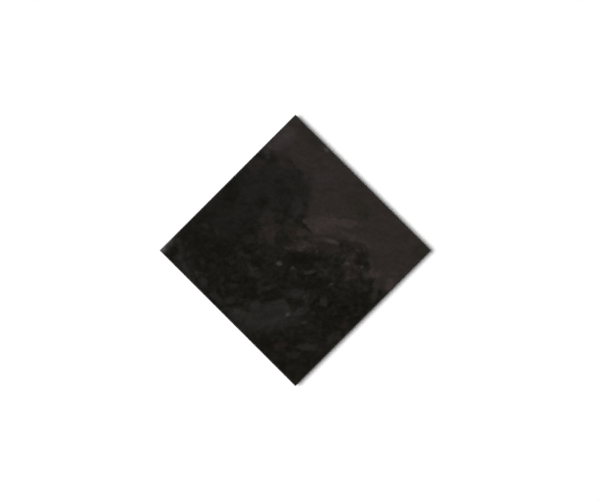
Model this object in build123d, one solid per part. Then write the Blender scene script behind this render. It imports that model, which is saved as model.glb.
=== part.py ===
from build123d import *
import os

# A square floor tile, pressed and fired as one piece of dark porcelain.
# The face is flat and polished, and its four sides are ground straight, with a fine
# bevel round the face and a wider one round the back. The back is keyed: rows of
# shallow pockets leave a lattice of ribs, which beds in the tile adhesive.
# Millimetres, +Z up. The origin is the middle of the bedding plane under the ribs,
# and X and Y run along the tile's sides.

# Driving dimensions
tile_side = 100.0  # each side of the square, across the ground sides
tile_thickness = 9.0  # from the bedding plane up to the face
face_bevel = 0.5  # leg of the 45 degree bevel round the face
back_bevel = 1.2  # leg of the 45 degree bevel round the back
key_depth = 0.8  # how deep the pockets are pressed into the back
pocket_side = 12.0  # width of a square pocket at its mouth
pocket_corner = 2.0  # radius of a pocket's corners at its mouth
pocket_draft = 30.0  # lean of a pocket's walls from upright, in degrees
rib_width = 3.0  # rib between two pockets, at the bedding plane
rim_width = 6.0  # least plain band between the outer pockets and the sides


def ground_blank():
    """The square slab with its bevels, before the back is keyed."""
    slab = Box(
        tile_side,
        tile_side,
        tile_thickness,
        align=(Align.CENTER, Align.CENTER, Align.MIN),
    )
    slab = chamfer(slab.faces().sort_by(Axis.Z)[-1].edges(), face_bevel)
    return chamfer(slab.faces().sort_by(Axis.Z)[0].edges(), back_bevel)


def pockets_per_row():
    """How many pockets fit between the two rims, with a rib between neighbours."""
    room = tile_side - 2 * rim_width
    return int((room + rib_width) // (pocket_side + rib_width))


def key_pockets():
    """The square grid of pockets, each narrowing from its mouth to its floor."""
    count = pockets_per_row()
    pitch = pocket_side + rib_width
    mouths = GridLocations(pitch, pitch, count, count) * RectangleRounded(
        pocket_side, pocket_side, pocket_corner
    )
    return [extrude(mouth, key_depth, taper=pocket_draft) for mouth in mouths]


floor_tile = ground_blank() - key_pockets()

os.makedirs("parts", exist_ok=True)
export_step(floor_tile, "parts/floor_tile.step")
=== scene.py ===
"""A dark polished porcelain floor tile on a white studio floor, laid out as an add-on.

The tile is one closed mesh in three finishes: the polished face with its cloudy stone
colouring, the ground sides and bevels, and the keyed back as it was pressed.
Meshes are worked out in millimetres and written in metres.
"""

import math
from collections import namedtuple

import bpy
from bpy.props import FloatProperty, FloatVectorProperty, IntProperty, PointerProperty
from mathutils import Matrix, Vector


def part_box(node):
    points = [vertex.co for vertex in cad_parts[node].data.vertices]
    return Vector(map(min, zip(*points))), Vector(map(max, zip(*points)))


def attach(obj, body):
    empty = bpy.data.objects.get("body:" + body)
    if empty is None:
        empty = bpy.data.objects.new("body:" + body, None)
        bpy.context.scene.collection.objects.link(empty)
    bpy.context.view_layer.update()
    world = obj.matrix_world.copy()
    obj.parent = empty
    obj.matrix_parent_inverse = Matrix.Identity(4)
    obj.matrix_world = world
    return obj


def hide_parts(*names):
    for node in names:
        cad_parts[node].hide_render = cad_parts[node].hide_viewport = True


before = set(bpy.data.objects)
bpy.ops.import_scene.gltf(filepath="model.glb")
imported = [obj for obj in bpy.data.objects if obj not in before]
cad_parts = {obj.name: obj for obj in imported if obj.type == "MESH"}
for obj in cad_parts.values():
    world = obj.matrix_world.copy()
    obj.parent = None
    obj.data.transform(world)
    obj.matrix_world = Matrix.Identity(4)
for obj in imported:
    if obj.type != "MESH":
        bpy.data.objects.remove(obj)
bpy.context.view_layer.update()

bl_info = {
    "name": "Floor Tile",
    "version": (1, 0, 0),
    "blender": (4, 5, 0),
    "location": "View3D > Sidebar > Floor Tile",
    "description": "Builds a dark polished porcelain floor tile and a white studio round it",
    "category": "Object",
}

NODE = "floor_tile"
BODY = "root"
MM = 0.001
TILE_LOW, TILE_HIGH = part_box(NODE)

# Finishes, in the order of the tile's material slots
FACE, EDGE, BACK = range(3)

# The tile stands on a corner in the picture, and the face's colouring is laid out that way up
FACE_TURN = math.radians(45.0)

# How fine the mesh is
CELL_STEPS = 12  # along one side of a pocket's cell
CORNER_STEPS = 2  # round half of an upright corner
POCKET_CORNER_STEPS = 3  # round half of a pocket's corner
EDGE_STEPS = 3  # round a rubbed edge
FACE_BORDER = 1.5  # millimetres from the face's even grid out to the side
LEAST_POCKET_CORNER = 0.4  # millimetres, however far down a pocket's wall

# Most of a noise's values lie in the first range, and nearly all of them in the second
NOISE_LOW, NOISE_HIGH = 0.3, 0.7
NOISE_LEAST, NOISE_MOST = 0.25, 0.75


def length(name, description, millimetres):
    """A length property in metres, from millimetres."""
    return FloatProperty(
        name=name, description=description, default=millimetres * MM, min=0.0, unit="LENGTH"
    )


def angle(name, description, degrees):
    """An angle property in radians, from degrees."""
    return FloatProperty(
        name=name, description=description, default=math.radians(degrees), subtype="ANGLE"
    )


def strength(name, description, default):
    """How strong a light is."""
    return FloatProperty(name=name, description=description, default=default, min=0.0)


def factor(name, description, default):
    """A property from 0 to 1."""
    return FloatProperty(
        name=name, description=description, default=default, min=0.0, max=1.0, subtype="FACTOR"
    )


def tint(name, description, default):
    """A colour property in linear light."""
    return FloatVectorProperty(
        name=name, description=description, default=default, min=0.0, soft_max=1.0, size=3, subtype="COLOR"
    )


class FloorTileShape(bpy.types.PropertyGroup):
    """Sizes of the tile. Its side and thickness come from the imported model."""

    side: length("Side", "Each side of the square", (TILE_HIGH.x - TILE_LOW.x) / MM)
    thickness: length("Thickness", "From the bedding plane to the face", (TILE_HIGH.z - TILE_LOW.z) / MM)
    face_bevel: length("Face bevel", "Leg of the bevel round the face", 0.5)
    back_bevel: length("Back bevel", "Leg of the bevel round the back", 1.2)
    arris: length("Arris", "How far the bevels' edges are rubbed round", 0.12)
    corner: length("Corner", "Radius of the four upright corners", 0.3)
    pocket_side: length("Pocket side", "Width of a pocket at its mouth", 12.0)
    pocket_corner: length("Pocket corner", "Radius of a pocket's corners at its mouth", 2.0)
    pocket_depth: length("Pocket depth", "How deep the pockets are pressed", 0.8)
    pocket_edge: length("Pocket edge", "Rounding of a pocket's edges", 0.14)
    rib: length("Rib", "Rib between two pockets", 3.0)
    pockets: IntProperty(name="Pockets", description="Pockets in a row", default=6, min=1)
    draft: angle("Draft", "Lean of a pocket's walls from upright", 30.0)


class FloorTileFinish(bpy.types.PropertyGroup):
    """Colours of the tile's stone and how its surfaces shine."""

    black: tint("Olive black", "Darkest ground of the face", (0.0080, 0.0075, 0.0056))
    ash: tint("Ash", "Grey clouds in the dark ground", (0.0150, 0.0143, 0.0129))
    loam: tint("Loam", "Warm clouds in the dark ground", (0.0150, 0.0138, 0.0104))
    brown: tint("Brown", "Smooth brown grey of the paler slope", (0.0272, 0.0221, 0.0197))
    rose: tint("Rose", "Palest warm streaks", (0.0402, 0.0310, 0.0284))
    lilac: tint("Lilac", "Cool patch near a corner", (0.0382, 0.0312, 0.0316))
    slate: tint("Slate", "Grey clasts", (0.0210, 0.0199, 0.0182))
    olive: tint("Olive", "Greenish brown clouds", (0.0190, 0.0175, 0.0122))
    beige: tint("Beige", "Pale yellowish streaks", (0.0300, 0.0268, 0.0210))
    umber: tint("Umber", "Reddish brown clouds", (0.0235, 0.0180, 0.0159))
    rust: tint("Rust", "Small reddish marks", (0.0212, 0.0145, 0.0122))
    pale: tint("Pale", "Flecks of light stone", (0.0580, 0.0520, 0.0495))
    scuff: tint("Scuff", "Rubbed stone at a corner", (0.0330, 0.0315, 0.0300))
    # Partly the corner's tip worn through the polish and partly a painted highlight on it; it also colours
    # the paler bevel by that corner
    bare_and_highlight: tint("Bare", "The same corner's tip, rubbed through the polish", (0.1000, 0.0960, 0.1000))
    warm: tint("Warm cast", "Multiplies the stone where it turns warm", (1.02, 0.98, 0.95))
    cool: tint("Cool cast", "Multiplies the stone where it turns cool", (0.97, 0.99, 1.02))
    body: tint("Body", "Fired body on the sides and back", (0.0240, 0.0222, 0.0200))
    grain: tint("Grain", "Pale grains in the fired body", (0.0700, 0.0660, 0.0600))
    wash: tint("Kiln wash", "Pale powder left on the back's ribs", (0.1500, 0.1450, 0.1350))
    polish: factor("Polish", "Roughness of the polished face", 0.11)
    dulling: factor("Dulling", "Roughness that the scuff adds", 0.35)
    body_shine: factor("Body shine", "Specular level of the fired body", 0.35)


class FloorTileStudio(bpy.types.PropertyGroup):
    """The floor, the light and the camera round the tile."""

    floor: tint("Floor", "Colour of the floor", (0.912, 0.912, 0.912))
    floor_lift: strength("Floor lift", "Glow that brings the lit floor up to white", 0.106)
    floor_size: length("Floor size", "Side of the floor", 14000.0)
    sun_level: strength("Sun level", "Strength of the key light", 3.1)
    sun_tilt: angle("Sun tilt", "Lean of the key light from straight down", 16.5)
    sun_width: angle("Sun width", "Angle that the key light fills, which softens the shadow", 20.0)
    wall_level: strength("Wall level", "Brightness of the studio's pale walls", 1.0)
    wall_top: angle("Wall top", "How far up the walls stay bright, seen from the tile", 6.0)
    ceiling_edge: angle("Ceiling edge", "How far up the ceiling is as dark as it gets", 16.0)
    ceiling_level: strength("Ceiling level", "Brightness of its dark ceiling", 0.02)
    lens: FloatProperty(
        name="Lens",
        description="Focal length of the camera",
        default=100.0,
        min=1.0,
        subtype="DISTANCE_CAMERA",
    )
    frame_width: length("Frame width", "What the picture's width takes in at the tile's face", 312.1)
    off_right: length("Off right", "How far right of the tile's middle the camera stands", 2.4)
    off_up: length("Off up", "How far above the tile's middle, in the picture, the camera stands", 0.23)


class TileSkin:
    """Points and faces of one closed mesh, in millimetres. Points at one place are shared."""

    def __init__(self):
        self.points = []
        self.faces = []
        self.finishes = []
        self.index_of = {}

    def place(self, x, y, z):
        """Index of the point at that place."""
        key = (round(x, 4), round(y, 4), round(z, 4))
        if key not in self.index_of:
            self.index_of[key] = len(self.points)
            self.points.append((x * MM, y * MM, z * MM))
        return self.index_of[key]

    def loop(self, outline, z):
        """Indices of an outline at one height."""
        return [self.place(x, y, z) for x, y in outline]

    def face(self, corners, finish):
        self.faces.append(corners)
        self.finishes.append(finish)

    def ring(self, first, second, finish):
        """Faces between two loops, from the middle of the face outwards and on to the back."""
        for step in range(len(first)):
            near = edge_of(first, step)
            far = edge_of(second, step)
            self.face(far + near[::-1], finish)

    def cap(self, last, centre, finish):
        """Closes a loop with a fan round its centre."""
        middle = self.place(*centre)
        for step in range(len(last)):
            near = edge_of(last, step)
            self.face([middle] + near[::-1], finish)

    def grid(self, half, steps, z, finish):
        """A square of even faces that look up."""
        lines = [half * (2 * step / steps - 1) for step in range(steps + 1)]
        for low_y, high_y in zip(lines, lines[1:]):
            for low_x, high_x in zip(lines, lines[1:]):
                corners = ((low_x, low_y), (high_x, low_y), (high_x, high_y), (low_x, high_y))
                self.face(self.loop(corners, z), finish)

    def mesh(self, name):
        made = bpy.data.meshes.new(name)
        made.from_pydata(self.points, [], self.faces)
        made.polygons.foreach_set("material_index", self.finishes)
        made.polygons.foreach_set("use_smooth", [True] * len(self.faces))
        made.update()
        return made


def edge_of(loop, step):
    """A point of a closed loop and the one after it."""
    return [loop[step], loop[(step + 1) % len(loop)]]


def quarter_turned(point, turns):
    x, y = point
    for _ in range(turns):
        x, y = -y, x
    return x, y


def even_square(half, steps):
    """An outline of evenly spaced points, anticlockwise from the corner at +X, -Y."""
    outline = []
    for turns in range(4):
        for step in range(steps):
            outline.append(quarter_turned((half, half * (2 * step / steps - 1)), turns))
    return outline


def rounded_square(half, corner, steps, corner_steps):
    """As even_square, with round corners. Each end of a side gives corner_steps to half an arc."""
    flat = half - corner
    eighth = math.radians(45.0)
    outline = []
    for turns in range(4):
        for step in range(steps):
            if step < corner_steps:
                turn = eighth * (step / corner_steps - 1)
                point = (flat + corner * math.cos(turn), corner * math.sin(turn) - flat)
            elif step > steps - corner_steps:
                turn = eighth * (step - steps + corner_steps) / corner_steps
                point = (flat + corner * math.cos(turn), corner * math.sin(turn) + flat)
            else:
                along = (step - corner_steps) / (steps - 2 * corner_steps)
                point = (half, flat * (2 * along - 1))
            outline.append(quarter_turned(point, turns))
    return outline


def rubbed_edge(before, edge, after):
    """Points of a soft turn from one place to another round an edge."""
    points = []
    for step in range(EDGE_STEPS + 1):
        t = step / EDGE_STEPS
        early, middle, late = (1 - t) ** 2, 2 * t * (1 - t), t**2
        x, y = (early * b + middle * e + late * a for b, e, a in zip(before, edge, after))
        points.append((x, y))
    return points


def bevel_profile(leg, soft):
    """(inset, drop) of a bevel with rubbed edges, from the flat to the side."""
    slant = soft * math.sqrt(0.5)
    upper = rubbed_edge((leg + soft, 0.0), (leg, 0.0), (leg - slant, slant))
    lower = [(drop, inset) for inset, drop in reversed(upper)]
    return upper + lower


def pocket_profile(depth, draft, soft):
    """(inset, height) of a pocket's wall from the rib to the pocket's floor."""
    run = depth * math.tan(draft)
    lean_in = soft * math.sin(draft)
    lean_up = soft * math.cos(draft)
    mouth = rubbed_edge((-soft, 0.0), (0.0, 0.0), (lean_in, lean_up))
    foot = rubbed_edge((run - lean_in, depth - lean_up), (run, depth), (run + soft, depth))
    return mouth + foot


def tile_mesh(shape):
    """The tile's closed mesh: face, bevels, sides and the keyed back."""
    half = shape.side / MM / 2
    top = shape.thickness / MM
    corner = shape.corner / MM
    pitch = (shape.pocket_side + shape.rib) / MM
    steps = CELL_STEPS * shape.pockets
    skin = TileSkin()

    # Face: an even grid, and a plain border out to the bevel
    flat_half = half - FACE_BORDER
    skin.grid(flat_half, steps, top, FACE)
    last = skin.loop(even_square(flat_half, steps), top)

    # Down the bevel round the face, the side and the bevel round the back
    soft = shape.arris / MM
    face_bevel = [(inset, top - drop) for inset, drop in bevel_profile(shape.face_bevel / MM, soft)]
    back_bevel = bevel_profile(shape.back_bevel / MM, soft)[::-1]
    finish = FACE
    for inset, height in face_bevel + back_bevel:
        following = skin.loop(rounded_square(half - inset, corner, steps, CORNER_STEPS), height)
        skin.ring(last, following, finish)
        last = following
        finish = EDGE

    # Back: the plain rim, then a cell of rib and pocket at a time
    field = pitch * shape.pockets / 2
    skin.ring(last, skin.loop(even_square(field, steps), 0.0), BACK)
    walls = pocket_profile(shape.pocket_depth / MM, shape.draft, shape.pocket_edge / MM)
    mouth = shape.pocket_side / MM / 2
    for column in range(shape.pockets):
        for row in range(shape.pockets):
            centre = (pitch * (column + 0.5) - field, pitch * (row + 0.5) - field)
            press_pocket(skin, centre, pitch / 2, mouth, shape.pocket_corner / MM, walls)
    return skin.mesh(NODE)


def press_pocket(skin, centre, cell_half, mouth, corner, walls):
    """One cell of the key: half a rib all round, the pocket's walls and its floor."""
    across, along = centre

    def at(outline, height):
        return [skin.place(x + across, y + along, height) for x, y in outline]

    def rounded(half, radius):
        return rounded_square(half, radius, CELL_STEPS, POCKET_CORNER_STEPS)

    last = at(even_square(cell_half, CELL_STEPS), 0.0)
    for inset, height in walls:
        following = at(rounded(mouth - inset, max(corner - inset, LEAST_POCKET_CORNER)), height)
        skin.ring(last, following, BACK)
        last = following
    floor_height = walls[-1][1]
    inner = at(rounded(mouth / 2, corner / 2), floor_height)
    skin.ring(last, inner, BACK)
    skin.cap(inner, (across, along, floor_height), BACK)


class Recipe:
    """Adds nodes to one node tree and links them. Sizes are in millimetres."""

    def __init__(self, tree):
        self.tree = tree

    def add(self, kind, feeds, **settings):
        node = self.tree.nodes.new(kind)
        for name, value in settings.items():
            setattr(node, name, value)
        for socket, value in feeds.items():
            self.feed(node.inputs[socket], value)
        return node

    def feed(self, socket, value):
        """Links an output to a socket, or sets the socket to a plain value."""
        if isinstance(value, bpy.types.NodeSocket):
            self.tree.links.new(value, socket)
        else:
            socket.default_value = value

    def millimetres(self, turn=0.0):
        """The object's own coordinates in millimetres, turned about Z."""
        source = self.add("ShaderNodeTexCoord", {}).outputs["Object"]
        feeds = {"Vector": source, "Rotation": (0.0, 0.0, turn), "Scale": (1 / MM, 1 / MM, 1 / MM)}
        return self.add("ShaderNodeMapping", feeds).outputs[0]

    def stretched(self, coords, scale):
        return self.add("ShaderNodeMapping", {"Vector": coords, "Scale": scale}).outputs[0]

    def height(self, coords):
        return self.add("ShaderNodeSeparateXYZ", {0: coords}).outputs[2]

    def noise_node(self, coords, size, detail, roughness, seed):
        feeds = {"Vector": coords, "W": seed, "Scale": 1 / size, "Detail": detail, "Roughness": roughness}
        return self.add("ShaderNodeTexNoise", feeds, noise_dimensions="4D")

    def noise(self, coords, size, detail, roughness, seed):
        """Cloudy values about 0.5, with features of about the given size."""
        return self.noise_node(coords, size, detail, roughness, seed).outputs[0]

    def math(self, operation, first, second=0.0):
        return self.add("ShaderNodeMath", {0: first, 1: second}, operation=operation).outputs[0]

    def vector(self, operation, *terms):
        """The vector that an operation makes of its terms."""
        return self.add("ShaderNodeVectorMath", dict(enumerate(terms)), operation=operation).outputs[0]

    def measure(self, operation, *terms):
        """The number that an operation makes of vectors."""
        node = self.add("ShaderNodeVectorMath", dict(enumerate(terms)), operation=operation)
        return node.outputs["Value"]

    def remap(self, value, low, high, to_low=0.0, to_high=1.0, smooth=True):
        """Stretches a range of values to another one, and holds them inside it."""
        feeds = {0: value, 1: low, 2: high, 3: to_low, 4: to_high}
        kind = "SMOOTHSTEP" if smooth else "LINEAR"
        return self.add("ShaderNodeMapRange", feeds, interpolation_type=kind).outputs[0]

    def spread(self, noise, to_low, to_high):
        """Stretches most of a noise's range to another one."""
        return self.remap(noise, NOISE_LOW, NOISE_HIGH, to_low, to_high, smooth=False)

    def weighed(self, change, weight):
        """A factor of 1 with a change that counts as much as its weight."""
        return self.math("ADD", self.math("MULTIPLY", change, weight), 1.0)

    def blend(self, share, first, second, mode="MIX"):
        """A colour between two."""
        feeds = {0: share, 6: opaque(first), 7: opaque(second)}
        return self.add("ShaderNodeMix", feeds, data_type="RGBA", blend_type=mode).outputs[2]

    def times(self, colour, by):
        """A colour multiplied by a factor or by another colour."""
        return self.blend(1.0, colour, by, "MULTIPLY")

    def bump(self, height, strength, depth):
        """A normal for relief of a depth in millimetres."""
        feeds = {"Strength": strength, "Distance": depth * MM, "Height": height}
        return self.add("ShaderNodeBump", feeds).outputs[0]

    def wander(self, coords, size, reach, seed):
        """The coordinates pushed about by noise, so that what they draw gets ragged edges."""
        push = self.noise_node(coords, size, detail=3.0, roughness=0.55, seed=seed).outputs[1]
        centred = self.vector("SUBTRACT", push, (0.5, 0.5, 0.5))
        return self.vector("MULTIPLY_ADD", centred, (2 * reach, 2 * reach, 0.0), coords)

    def beyond(self, coords, direction, distance, edge):
        """1 past a straight line across the face, which lies at a distance along a direction."""
        heading = math.radians(direction)
        reached = self.measure("DOT_PRODUCT", coords, (math.cos(heading), math.sin(heading), 0.0))
        return self.remap(reached, distance - edge, distance + edge)

    def mark(self, coords, mark, fray, blocky=False):
        """A soft oval or block on the face with a frayed rim, as strong as its share in the middle."""
        # Mirrored about half its turn, the mark's long way lies along X
        half_turn = math.radians(mark.turn) / 2
        mirror = Vector((-math.sin(half_turn), math.cos(half_turn), 0.0))
        centre = Vector((mark.across, mark.up, 0.0)).reflect(mirror)
        scale = Vector((1 / mark.long, 1 / mark.wide, 0.0))
        level = self.vector("REFLECT", coords, mirror)
        local = self.vector("MULTIPLY_ADD", level, scale, -centre * scale)
        if blocky:
            local = self.vector("MULTIPLY", local, local)
        frayed = self.math("ADD", self.measure("LENGTH", local), fray)
        return self.remap(frayed, 1.0 + mark.edge, 1.0 - mark.edge, 0.0, mark.share)

    def marks(self, coords, marks, fray, blocky=False):
        """The strongest of several marks."""
        strongest = self.mark(coords, marks[0], fray, blocky)
        for mark in marks[1:]:
            strongest = self.math("MAXIMUM", strongest, self.mark(coords, mark, fray, blocky))
        return strongest

    def pieces(self, coords, size):
        """A chance value for each of the angular pieces that the face is broken into."""
        feeds = {"Vector": coords, "Scale": 1 / size}
        piece = self.add("ShaderNodeTexVoronoi", feeds, voronoi_dimensions="2D")
        return self.add("ShaderNodeSeparateXYZ", {0: piece.outputs["Color"]}).outputs[0]

    def fray(self, coords, size, reach, seed):
        """How far the rims of marks are pushed in and out, as a share of their size."""
        noise = self.noise(coords, size, detail=3.0, roughness=0.6, seed=seed)
        return self.remap(noise, NOISE_LEAST, NOISE_MOST, -reach, reach, smooth=False)


def opaque(colour):
    """A colour with its alpha, for a socket. An output is left as it is."""
    if isinstance(colour, bpy.types.NodeSocket):
        return colour
    return (*colour, 1.0)


def new_recipe(name):
    """A material with its recipe and its one shader."""
    material = bpy.data.materials.new(name)
    material.use_nodes = True
    return material, Recipe(material.node_tree), material.node_tree.nodes["Principled BSDF"]


# Marks on the face, in millimetres across and up from its middle, with the face standing on a
# corner. long and wide are half lengths, turn is the long way's angle in degrees, edge is how
# soft the rim is and share how much of the tint shows. Groups of marks are laid over each other
# in turn, each in the tint it names.
Mark = namedtuple("Mark", "across up long wide turn edge share")

CLOUDS = (
    ("ash", (
        Mark(-12, 31, 19, 20, 0, 0.5, 0.8),
        Mark(-34, 17, 15, 9, 30, 0.6, 0.48),
        Mark(-55, -11, 8, 3.4, -55, 0.6, 0.8),
        Mark(4, 33, 5, 12, 0, 0.6, 0.8),
        Mark(-39, 30, 26, 2.6, 45, 0.7, 0.5),
        Mark(-28.4, -18.5, 4, 2.4, 0, 0.7, 0.4),
        Mark(26.2, 0.6, 2.7, 5, 0, 0.6, 0.9),
    )),
    ("loam", (
        Mark(15.5, 1, 12, 5, -8, 0.5, 0.9),
        Mark(18, -9, 9, 5, -10, 0.5, 0.6),
        Mark(-9, 1, 12, 6, 0, 0.5, 0.8),
        Mark(-10, -11, 9, 4, 0, 0.6, 0.3),
        Mark(31, -7, 9, 8, 0, 0.4, 0.9),
        Mark(4, -42, 10, 4, 0, 0.6, 0.4),
        Mark(27, -16.5, 2.6, 2.4, 0, 0.7, 1.0),
        Mark(34, -19, 5, 3, 0, 0.5, 0.7),
    )),
    ("black", (
        Mark(-34.2, 30.6, 4.4, 4.6, 0, 0.4, 0.8),
        Mark(-17.5, 24.5, 3.6, 2.4, 10, 0.5, 0.9),
        Mark(-16.5, 44, 1.8, 6, 0, 0.5, 0.5),
        Mark(-8.5, 35, 2.6, 1.8, 30, 0.5, 0.7),
        Mark(-6.5, 30.5, 5, 2.6, -10, 0.5, 0.6),
        Mark(-5, 21, 2.2, 3.6, 0, 0.5, 0.6),
        Mark(-9.6, 20.4, 2.6, 2.4, 0, 0.6, 0.5),
        Mark(4.5, -3.6, 11, 2.8, 0, 0.4, 0.95),
        Mark(-2, -12.4, 3.4, 1.6, 0, 0.6, 0.7),
        Mark(-33, -14.6, 4, 2.2, 0, 0.6, 0.6),
        Mark(-48, -6.6, 5, 2.1, -32, 0.6, 0.65),
        Mark(35.6, -5.2, 3.4, 4.4, 0, 0.3, 0.5),
        Mark(33, -27, 12, 5, 35, 0.5, 0.9),
        Mark(-46, 2, 9, 5, -20, 0.5, 0.9),
        Mark(-64, -0.6, 2.2, 4.2, 0, 0.5, 0.6),
        Mark(2, -17.5, 12, 2.4, 0, 0.5, 0.8),
        Mark(0, -66, 6, 4, 0, 0.6, 0.5),
    )),
    ("olive", (
        Mark(-3, 10, 8, 4.4, 0, 0.5, 0.7),
        Mark(33, 22, 5, 8, 20, 0.7, 0.5),
        Mark(33.5, 32, 3, 3.4, 0, 0.8, 0.5),
        Mark(8.5, 58.5, 6, 2.4, -45, 0.6, 0.7),
        Mark(67, -2, 6, 7, 0, 0.6, 0.6),
    )),
    ("umber", (
        Mark(-14, 16.8, 3.6, 3.2, 0, 0.5, 0.6),
        Mark(-13.4, 9, 3.7, 4.2, 0, 0.5, 0.95),
        Mark(-20.5, 45, 4.4, 4.4, 0, 0.6, 0.6),
        Mark(-6, 44.5, 3.8, 4, 0, 0.5, 0.7),
        Mark(32.6, 1.4, 4.6, 2.8, -20, 0.5, 0.75),
        Mark(30, -9, 3, 6.4, 0, 0.5, 0.85),
        Mark(6, 36.5, 2.4, 2.6, 0, 0.6, 0.5),
        Mark(14, 6, 8, 2.6, 0, 0.6, 0.9),
        Mark(3, 4, 5, 3, 5, 0.5, 0.95),
        Mark(16, 1.6, 8, 2.8, -4, 0.7, 0.7),
        Mark(26, -14, 2.6, 2.4, 0, 0.6, 0.6),
        Mark(-17.5, 6.5, 3, 2.6, 0, 0.6, 0.7),
    )),
    ("brown", (
        Mark(3.2, 2.4, 5.6, 2.6, 3, 0.5, 0.95),
        Mark(10, 7.4, 9, 1.6, 0, 0.8, 0.6),
        Mark(43.2, -16.8, 3.2, 3.2, 0, 0.5, 0.9),
        Mark(39.8, -8, 2.2, 3.4, 0, 0.6, 0.95),
        Mark(0.8, 47.8, 8.4, 3, -53, 0.6, 0.95),
    )),
    ("lilac", (
        Mark(-7.7, 58.5, 7.3, 4.8, 45, 0.6, 0.95),
        Mark(13.5, 37, 5, 3.4, 0, 0.7, 0.4),
    )),
)

STREAKS = (
    ("rose", (
        Mark(14, 14, 8.4, 4.4, -4, 0.4, 0.95),
        Mark(25, 13.8, 9, 2.0, -3, 0.5, 0.95),
        Mark(15.5, 9.8, 9, 1.5, 0, 0.5, 0.6),
        Mark(30, 6.4, 9, 1.5, -26, 0.5, 0.6),
        Mark(40.6, -12.2, 4.6, 1.9, -4, 0.6, 0.9),
        Mark(48.5, -17.5, 3, 2.4, 45, 0.5, 0.9),
    )),
)

CLASTS = (
    ("slate", (
        Mark(-14, -35.8, 16, 5.2, 6, 0.75, 0.76),
        Mark(-28.5, -34, 6, 3.4, -22, 0.75, 0.7),
        Mark(-11, -29.5, 6.4, 3.6, 18, 0.75, 0.85),
        Mark(-21, -29.5, 3, 3, 0, 0.95, 0.85),
        Mark(1.8, -32.3, 5, 2, 26, 0.95, 0.9),
        Mark(0.6, -22.8, 4.2, 2.3, -6, 0.95, 0.9),
        Mark(0.8, 22.5, 2.8, 4.2, 0, 0.7, 0.7),
        Mark(-21.2, -12.2, 2.8, 1.9, -12, 0.95, 0.65),
        Mark(-34, -26, 2.8, 1.8, 10, 0.95, 0.6),
        Mark(-41, -24.4, 3.8, 1.6, -45, 0.95, 0.75),
        Mark(-47.8, -15.8, 2.4, 1.5, -40, 0.95, 0.8),
        Mark(-46.4, 12.4, 2, 1, -35, 0.95, 0.7),
        Mark(-40.6, 9.4, 1, 1.8, 15, 0.95, 0.6),
        Mark(14.6, -26.8, 1.9, 2.4, 0, 0.95, 0.75),
        Mark(6.4, -50.2, 5.2, 1.7, -6, 0.95, 0.7),
        Mark(18.6, -46, 3, 1.8, 40, 0.95, 0.6),
        Mark(-60, 2.2, 4.2, 1.4, 97, 1.0, 0.65),
        Mark(-58.2, -7.3, 5.2, 1.2, -62, 1.0, 0.65),
        Mark(-14, -19.4, 3.2, 1.3, 10, 0.95, 0.6),
        Mark(-24, 6, 3, 2, 0, 0.95, 0.5),
    )),
    ("black", (
        Mark(-0.2, -27.2, 4.4, 2.1, 14, 0.95, 0.5),
        Mark(-11.2, -24, 5, 2, 8, 0.95, 0.9),
        Mark(-15.5, -49, 3.6, 2.6, 20, 0.95, 0.8),
        Mark(24, 1.6, 1, 2.8, 0, 0.95, 0.35),
        Mark(5.5, 12, 4.2, 0.9, -45, 0.95, 0.7),
        Mark(-5.4, 8.2, 2.8, 1, -40, 0.95, 0.5),
        Mark(37, 18.2, 1.3, 1.7, 0, 0.95, 0.4),
        Mark(-23, -18.5, 2, 2.4, 0, 0.95, 0.8),
        Mark(13.8, -21.8, 3.6, 1.4, 0, 0.95, 0.7),
    )),
    ("rust", (
        Mark(-18.3, -19, 0.9, 3, 0, 0.95, 0.5),
        Mark(-7.2, -49, 3.4, 1.3, 4, 0.95, 0.55),
        Mark(25.4, -39.2, 2.6, 1.8, 30, 0.95, 0.6),
        Mark(13.2, -52, 1.4, 1.2, 0, 0.95, 0.4),
        Mark(-1.4, 9.6, 2.8, 1.8, 0, 0.95, 0.8),
        Mark(45.4, -18.4, 1.2, 2.2, 0, 0.95, 0.6),
    )),
    ("beige", (
        Mark(-30, -32, 4.8, 1.2, -10, 0.95, 0.4),
        Mark(-5, -28.8, 3.6, 1.2, -66, 1.0, 0.4),
        Mark(-1.5, -54.5, 2.6, 1.8, 10, 0.95, 0.4),
        Mark(7.2, -11.2, 3.2, 0.9, 15, 0.95, 0.8),
        Mark(5.6, -25, 1.2, 3.2, -8, 1.0, 0.4),
        Mark(41.6, -21.2, 6, 1.4, 80, 1.0, 0.55),
        Mark(3.4, 9.4, 2.3, 1.5, 0, 0.95, 0.5),
    )),
)

FLECKS = (
    Mark(-8.6, -6.8, 1.2, 0.95, 0, 1.0, 0.85),
    Mark(-1.8, -8.9, 0.9, 0.7, 20, 1.0, 0.5),
    Mark(-4, -33.4, 0.9, 0.8, 0, 1.0, 1.0),
    Mark(18.6, -17.4, 1.2, 0.7, 15, 1.0, 0.4),
    Mark(4.5, -37.5, 1.0, 0.7, 0, 1.0, 0.35),
    Mark(16.4, 52.4, 1.0, 0.8, -45, 1.0, 1.0),
    Mark(18.6, 4.8, 3.0, 1.0, -20, 1.0, 0.6),
    Mark(27, -6.8, 1.3, 0.8, 0, 1.0, 0.5),
    Mark(34.5, -8.4, 0.9, 0.6, 0, 1.0, 0.35),
)

# The rubbed corner, and its tip, which is worn pale and carries a painted highlight
SCUFF = Mark(-67.1, 2.8, 5.4, 2.2, 45, 0.8, 1.0)
TIP_HIGHLIGHT = Mark(-70.4, 0.4, 2.8, 1.7, 45, 1.0, 0.9)

# How far below the face the worn, painted-highlight band ends on the corner's side, and where it is whole,
# in millimetres
RUB_HIGHLIGHT_END = 1.4
RUB_HIGHLIGHT_WHOLE = 0.2

# The face's coordinates as they are, and pushed about for soft, ragged, chipped and bedded stone
Lay = namedtuple("Lay", "plain drift ragged chipped bedded")


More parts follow.
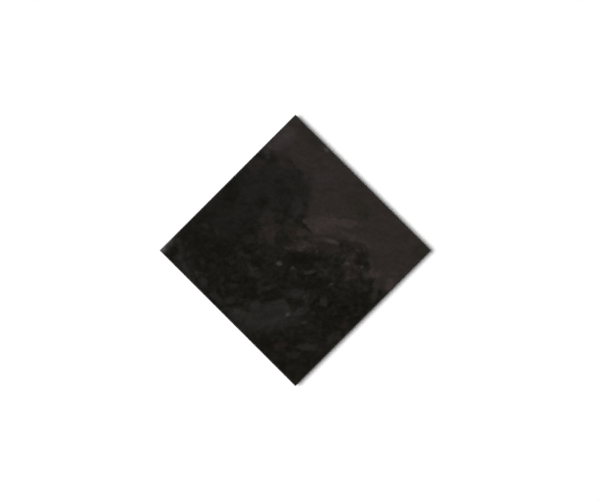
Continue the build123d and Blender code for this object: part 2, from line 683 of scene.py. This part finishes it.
def scuffed(recipe, coords):
    """How far the stone is rubbed at the one worn corner."""
    ragged = recipe.wander(coords, size=1.8, reach=1.2, seed=8.0)
    return recipe.mark(ragged, SCUFF, recipe.fray(coords, size=0.9, reach=0.5, seed=16.0))


def stone_lay(recipe, coords):
    drift = recipe.wander(coords, size=9.0, reach=3.0, seed=1.0)
    ragged = recipe.wander(drift, size=2.4, reach=1.4, seed=2.0)
    chipped = recipe.wander(coords, size=2.6, reach=1.2, seed=3.0)
    bedded = recipe.stretched(ragged, (0.7, 1.0, 1.0))
    return Lay(coords, drift, ragged, chipped, bedded)


def dark_ground(recipe, lay, finish):
    """Cloudy dark stone, cool on the left and warm on the right."""
    clouds = recipe.noise(lay.bedded, size=6.0, detail=5.0, roughness=0.62, seed=4.0)
    cloudy = recipe.math("MULTIPLY", recipe.remap(clouds, 0.38, 0.68), 0.54)
    warm = recipe.beyond(lay.drift, direction=-30.0, distance=-8.0, edge=16.0)
    return recipe.blend(cloudy, finish.black, recipe.blend(warm, finish.ash, finish.loam))


def pale_slope(recipe, ragged):
    """Where the stone is paler: past any of three lines, or in the angle between two more."""
    by_top = recipe.beyond(ragged, direction=80.0, distance=47.6, edge=2.6)
    shoulder = recipe.beyond(ragged, direction=42.0, distance=31.2, edge=2.8)
    by_corner = recipe.beyond(ragged, direction=21.0, distance=35.3, edge=2.6)
    right = recipe.beyond(ragged, direction=0.0, distance=5.6, edge=2.0)
    above = recipe.beyond(ragged, direction=75.0, distance=10.4, edge=1.4)
    slope = recipe.math("MINIMUM", right, above)
    for part in (by_top, shoulder, by_corner):
        slope = recipe.math("MAXIMUM", slope, part)
    return slope


def broken_ground(recipe, lay, slope):
    """A factor for each small angular piece of the ground, low down and off the slope."""
    tumbled = recipe.wander(lay.plain, size=3.0, reach=0.8, seed=15.0)
    below = recipe.beyond(lay.drift, direction=-90.0, distance=-4.0, edge=8.0)
    lower = recipe.math("SUBTRACT", below, slope)
    mixed = recipe.math("ADD", recipe.pieces(tumbled, 3.4), recipe.pieces(tumbled, 1.7))
    mottled = recipe.remap(mixed, 0.2, 1.8, -0.26, 0.18, smooth=False)
    chips = recipe.remap(recipe.pieces(tumbled, 2.3), 0.7, 1.0, 0.0, 0.5, smooth=False)
    return recipe.weighed(recipe.math("ADD", mottled, chips), recipe.remap(lower, 0.0, 1.0))


def stone_shade(recipe, lay, slope):
    """A factor of blotches, thin beds, wisps and grain. The first and third are calmer on the slope."""
    calm = recipe.remap(slope, 0.0, 1.0, 1.0, 0.6)
    blotches = recipe.noise(lay.bedded, size=2.2, detail=3.0, roughness=0.6, seed=5.0)
    blotch = recipe.weighed(recipe.spread(blotches, -0.2, 0.2), calm)
    thin = recipe.stretched(lay.drift, (0.3, 1.0, 1.0))
    beds = recipe.noise(thin, size=2.0, detail=2.0, roughness=0.5, seed=13.0)
    broad = recipe.math("MULTIPLY", blotch, recipe.spread(beds, 0.9, 1.1))
    folds = recipe.noise(lay.ragged, size=5.0, detail=3.0, roughness=0.55, seed=12.0)
    ridge = recipe.math("ABSOLUTE", recipe.math("SUBTRACT", folds, 0.5))
    wisp = recipe.weighed(recipe.remap(ridge, 0.0, 0.05, 0.13, -0.02), calm)
    grain = recipe.noise(lay.plain, size=1.0, detail=2.0, roughness=0.5, seed=6.0)
    fine = recipe.math("MULTIPLY", wisp, recipe.spread(grain, 0.93, 1.07))
    return recipe.math("MULTIPLY", broad, fine)


def face_colour(recipe, coords, scuff, finish):
    """The stone's colour: dark ground, paler slope, clouds, clasts, flecks, the scuff, the tip's painted
    highlight and the grain.
    """

    def marked(colour, groups, places, fray, blocky=False):
        for name, marks in groups:
            colour = recipe.blend(recipe.marks(places, marks, fray, blocky), colour, getattr(finish, name))
        return colour

    lay = stone_lay(recipe, coords)
    cloud_fray = recipe.fray(lay.bedded, size=3.0, reach=0.6, seed=10.0)
    clast_fray = recipe.fray(coords, size=1.3, reach=0.6, seed=11.0)
    ground = dark_ground(recipe, lay, finish)
    slope = pale_slope(recipe, lay.ragged)
    colour = recipe.blend(slope, ground, finish.brown)
    colour = marked(colour, CLOUDS, lay.ragged, cloud_fray)
    colour = recipe.times(colour, broken_ground(recipe, lay, slope))
    colour = marked(colour, STREAKS, lay.drift, clast_fray)
    colour = marked(colour, CLASTS, lay.chipped, clast_fray, blocky=True)
    colour = recipe.blend(recipe.marks(lay.chipped, FLECKS, 0.0), colour, finish.pale)
    colour = recipe.blend(scuff, colour, finish.scuff)
    # The tip: worn through the polish, with a painted highlight on top
    colour = recipe.blend(recipe.mark(coords, TIP_HIGHLIGHT, 0.0), colour, finish.bare_and_highlight)
    colour = recipe.times(colour, stone_shade(recipe, lay, slope))
    casts = recipe.noise(lay.drift, size=5.0, detail=3.0, roughness=0.6, seed=14.0)
    return recipe.times(colour, recipe.blend(recipe.remap(casts, 0.35, 0.65), finish.warm, finish.cool))


def polished_face(finish):
    """Cloudy dark stone under a polish, with a rubbed corner whose tip has a painted highlight, and a
    faint waviness.
    """
    material, recipe, shader = new_recipe("polished_face")
    coords = recipe.millimetres(FACE_TURN)
    scuff = scuffed(recipe, coords)
    recipe.feed(shader.inputs["Base Color"], face_colour(recipe, coords, scuff, finish))

    haze = recipe.noise(coords, size=12.0, detail=3.0, roughness=0.6, seed=7.0)
    gloss = recipe.spread(haze, 0.7 * finish.polish, 1.4 * finish.polish)
    dulled = recipe.math("MULTIPLY", scuff, finish.dulling)
    recipe.feed(shader.inputs["Roughness"], recipe.math("ADD", gloss, dulled))

    peel = recipe.noise(coords, size=5.0, detail=2.0, roughness=0.4, seed=9.0)
    recipe.feed(shader.inputs["Normal"], recipe.bump(peel, strength=0.05, depth=0.2))
    return material


def fired_body(recipe, coords, finish):
    """Colour of the fired body and the grains in it, which also give it relief."""
    grains = recipe.noise(coords, size=0.9, detail=4.0, roughness=0.75, seed=2.0)
    patches = recipe.noise(coords, size=7.0, detail=3.0, roughness=0.6, seed=3.0)
    granular = recipe.remap(grains, 0.36, 0.64, 0.5, 1.5, smooth=False)
    shade = recipe.math("MULTIPLY", recipe.spread(patches, 0.8, 1.2), granular)
    colour = recipe.times(finish.body, shade)
    flecks = recipe.noise(coords, size=1.3, detail=3.0, roughness=0.7, seed=4.0)
    return recipe.blend(recipe.remap(flecks, 0.62, 0.74, 0.0, 0.7), colour, finish.grain), grains


def ground_edge(finish, top):
    """The fired body where a wheel ground it: fine lines along the side, and the worn corner's paler
    bevel, worn through and with a painted highlight.
    """
    material, recipe, shader = new_recipe("ground_edge")
    coords = recipe.millimetres()
    colour, grains = fired_body(recipe, coords, finish)
    along = recipe.stretched(coords, (0.05, 0.05, 1.6))
    lines = recipe.noise(along, size=1.0, detail=4.0, roughness=0.7, seed=1.0)
    colour = recipe.times(colour, recipe.spread(lines, 0.6, 1.4))
    by_face = recipe.remap(recipe.height(coords), top / MM - RUB_HIGHLIGHT_END, top / MM - RUB_HIGHLIGHT_WHOLE)
    # The worn corner's bevel turns pale: partly wear, partly the tip's painted highlight carried along the
    # bevel
    rub_and_highlight = recipe.math("MULTIPLY", scuffed(recipe, recipe.millimetres(FACE_TURN)), by_face)
    recipe.feed(shader.inputs["Base Color"], recipe.blend(rub_and_highlight, colour, finish.bare_and_highlight))
    recipe.feed(shader.inputs["Roughness"], recipe.spread(lines, 0.42, 0.68))
    shader.inputs["Specular IOR Level"].default_value = finish.body_shine
    relief = recipe.math("ADD", lines, grains)
    recipe.feed(shader.inputs["Normal"], recipe.bump(relief, strength=0.5, depth=0.1))
    return material


def pressed_back(finish, pocket_depth):
    """The fired body as it left the press, granular, with kiln wash on the ribs."""
    material, recipe, shader = new_recipe("pressed_back")
    coords = recipe.millimetres()
    colour, grains = fired_body(recipe, coords, finish)
    on_rib = recipe.remap(recipe.height(coords), 0.25 * pocket_depth / MM, 0.0)
    patches = recipe.noise(coords, size=9.0, detail=4.0, roughness=0.6, seed=5.0)
    powder = recipe.remap(recipe.math("ADD", grains, patches), 0.85, 1.25, 0.0, 0.45)
    colour = recipe.blend(recipe.math("MULTIPLY", on_rib, powder), colour, finish.wash)
    recipe.feed(shader.inputs["Base Color"], colour)
    recipe.feed(shader.inputs["Roughness"], recipe.spread(grains, 0.7, 0.9))
    shader.inputs["Specular IOR Level"].default_value = finish.body_shine
    recipe.feed(shader.inputs["Normal"], recipe.bump(grains, strength=0.6, depth=0.25))
    return material


def link(name, data):
    """A new object in the scene."""
    made = bpy.data.objects.new(name, data)
    bpy.context.scene.collection.objects.link(made)
    return made


class OBJECT_OT_floor_tile(bpy.types.Operator):
    """Build the tile's mesh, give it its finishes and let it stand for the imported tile"""

    bl_idname = "object.floor_tile"
    bl_label = "Floor tile"
    bl_options = {"REGISTER", "UNDO"}

    def execute(self, context):
        shape = context.scene.floor_tile_shape
        finish = context.scene.floor_tile_finish
        mesh = tile_mesh(shape)
        if mesh.validate():
            raise RuntimeError("the tile's mesh has faces that can't be kept")
        mesh.materials.append(polished_face(finish))
        mesh.materials.append(ground_edge(finish, shape.thickness))
        mesh.materials.append(pressed_back(finish, shape.pocket_depth))
        tile = link("tile_skin", mesh)
        even = tile.modifiers.new("Even shading", "WEIGHTED_NORMAL")
        even.weight = 100  # the large flats keep their own normals
        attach(tile, BODY)
        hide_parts(NODE)
        return {"FINISHED"}


def studio_floor(studio):
    """A wide floor that glows a little to the eye, and keeps the tile's shadow."""
    half = studio.floor_size / 2
    corners = ((-half, -half, 0.0), (half, -half, 0.0), (half, half, 0.0), (-half, half, 0.0))
    mesh = bpy.data.meshes.new("studio_floor")
    mesh.from_pydata(corners, [], [(0, 1, 2, 3)])
    material = bpy.data.materials.new("studio_floor")
    material.use_nodes = True
    tree = material.node_tree
    tree.nodes.clear()
    recipe = Recipe(tree)
    path = recipe.add("ShaderNodeLightPath", {}).outputs
    seen = recipe.math("MAXIMUM", path["Is Camera Ray"], path["Is Glossy Ray"])
    seen = recipe.math("MAXIMUM", seen, path["Is Transmission Ray"])
    glow = recipe.add("ShaderNodeEmission", {"Strength": recipe.math("MULTIPLY", seen, studio.floor_lift)})
    matte = recipe.add("ShaderNodeBsdfDiffuse", {"Color": opaque(studio.floor)})
    both = recipe.add("ShaderNodeAddShader", {0: glow.outputs[0], 1: matte.outputs[0]})
    recipe.add("ShaderNodeOutputMaterial", {"Surface": both.outputs[0]})
    mesh.materials.append(material)
    floor = link("studio_floor", mesh)


def studio_walls(studio):
    """A world with pale walls all round and a dark ceiling, which the polish reflects."""
    world = bpy.data.worlds.new("studio_walls")
    world.use_nodes = True
    recipe = Recipe(world.node_tree)
    rise = recipe.height(recipe.add("ShaderNodeTexCoord", {}).outputs["Generated"])
    wall_top = math.sin(studio.wall_top)
    ceiling_edge = math.sin(studio.ceiling_edge)
    level = recipe.remap(rise, wall_top, ceiling_edge, studio.wall_level, studio.ceiling_level)
    background = world.node_tree.nodes["Background"]
    recipe.feed(background.inputs["Strength"], level)
    background.inputs["Color"].default_value = (1.0, 1.0, 1.0, 1.0)
    bpy.context.scene.world = world


def studio_sun(studio, aside):
    """A broad key light that leans a little, so that a soft shadow falls aside."""
    data = bpy.data.lights.new("studio_sun", "SUN")
    data.energy = studio.sun_level
    data.angle = studio.sun_width
    sun = link("studio_sun", data)
    towards = Vector((0.0, 0.0, math.cos(studio.sun_tilt))) - aside * math.sin(studio.sun_tilt)
    sun.rotation_mode = "QUATERNION"
    sun.rotation_quaternion = towards.to_track_quat("Z", "Y")
    sun.location = towards
    # The polish mirrors the dark ceiling and not the lamp
    sun.visible_glossy = False
    data.cycles.use_multiple_importance_sampling = False


def studio_camera(studio, aside, upward, face_height):
    """A camera straight above, rolled so that the tile stands on its corner."""
    data = bpy.data.cameras.new("studio_camera")
    data.lens = studio.lens
    camera = link("studio_camera", data)
    height = studio.frame_width * data.lens / data.sensor_width
    camera.location = aside * studio.off_right + upward * studio.off_up
    camera.location.z = face_height + height
    camera.rotation_euler = (0.0, 0.0, -FACE_TURN)
    bpy.context.scene.camera = camera


class OBJECT_OT_floor_tile_studio(bpy.types.Operator):
    """Set the floor, the light and the camera round the tile"""

    bl_idname = "object.floor_tile_studio"
    bl_label = "Studio"
    bl_options = {"REGISTER", "UNDO"}

    def execute(self, context):
        studio = context.scene.floor_tile_studio
        aside = Vector((1.0, -1.0, 0.0)).normalized()  # to the right of the picture
        upward = Vector((1.0, 1.0, 0.0)).normalized()  # to its top
        studio_floor(studio)
        studio_walls(studio)
        studio_sun(studio, aside)
        studio_camera(studio, aside, upward, TILE_HIGH.z)
        context.scene.view_settings.view_transform = "Standard"
        return {"FINISHED"}


class VIEW3D_PT_floor_tile(bpy.types.Panel):
    """Lists the tile and its studio in the sidebar"""

    bl_idname = "VIEW3D_PT_floor_tile"
    bl_label = "Floor Tile"
    bl_space_type = "VIEW_3D"
    bl_region_type = "UI"
    bl_category = "Floor Tile"

    def draw(self, context):
        scene = context.scene
        for operator, settings in (
            (OBJECT_OT_floor_tile, (scene.floor_tile_shape, scene.floor_tile_finish)),
            (OBJECT_OT_floor_tile_studio, (scene.floor_tile_studio,)),
        ):
            box = self.layout.box()
            box.operator(operator.bl_idname)
            for group in settings:
                for name in group.__annotations__:
                    box.prop(group, name)


CLASSES = (
    FloorTileShape,
    FloorTileFinish,
    FloorTileStudio,
    OBJECT_OT_floor_tile,
    OBJECT_OT_floor_tile_studio,
    VIEW3D_PT_floor_tile,
)


def register():
    for cls in CLASSES:
        bpy.utils.register_class(cls)
    bpy.types.Scene.floor_tile_shape = PointerProperty(type=FloorTileShape)
    bpy.types.Scene.floor_tile_finish = PointerProperty(type=FloorTileFinish)
    bpy.types.Scene.floor_tile_studio = PointerProperty(type=FloorTileStudio)


def unregister():
    del bpy.types.Scene.floor_tile_studio
    del bpy.types.Scene.floor_tile_finish
    del bpy.types.Scene.floor_tile_shape
    for cls in reversed(CLASSES):
        bpy.utils.unregister_class(cls)


def main():
    register()
    bpy.ops.object.floor_tile()
    bpy.ops.object.floor_tile_studio()


if __name__ == "__main__":
    main()
